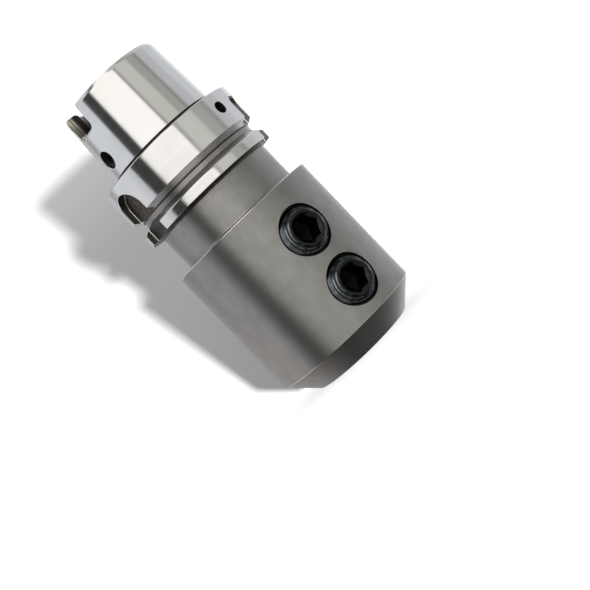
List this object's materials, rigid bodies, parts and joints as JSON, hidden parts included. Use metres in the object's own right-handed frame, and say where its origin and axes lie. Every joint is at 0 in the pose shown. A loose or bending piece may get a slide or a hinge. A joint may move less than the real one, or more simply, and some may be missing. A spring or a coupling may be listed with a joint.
{
  "type": "endmill holder",
  "caption": "Side-lock endmill holder: a thick steel body with a tool bore and side clamp screws, a grooved flange and a hollow taper shank with a coolant tube.",
  "frame": {"origin": "centre of the nose face, on the spindle axis", "axes": "+Z along the spindle axis from the nose to the shank's end; the clamp screws face -Y; the drive slots lie near X"},
  "size_m": [0.065, 0.0665, 0.142],
  "materials": {
    "holder_steel": "hardened steel: shank and flange ground bright, neck and body fine turned to a warm satin grey",
    "black_oxide_steel": "black oxide, lightly oiled",
    "tube_steel": "bright turned steel",
    "nut_steel": "turned steel, dull",
    "seal_rubber": "black nitrile rubber"
  },
  "bodies": {
    "holder": {"holder_body": "holder_steel", "coolant_tube": "tube_steel", "coolant_tube_nut": "nut_steel", "lower_tube_seal": "seal_rubber", "upper_tube_seal": "seal_rubber"},
    "front_screw": {"front_clamp_screw": "black_oxide_steel"},
    "rear_screw": {"rear_clamp_screw": "black_oxide_steel"}
  },
  "joints": [
    {"name": "front_screw_travel", "type": "slide", "parent": "holder", "child": "front_screw", "axis": [0, -1, 0], "range_m": [-0.0035, 0.012]},
    {"name": "rear_screw_travel", "type": "slide", "parent": "holder", "child": "rear_screw", "axis": [0, -1, 0], "range_m": [-0.0035, 0.012]}
  ]
}
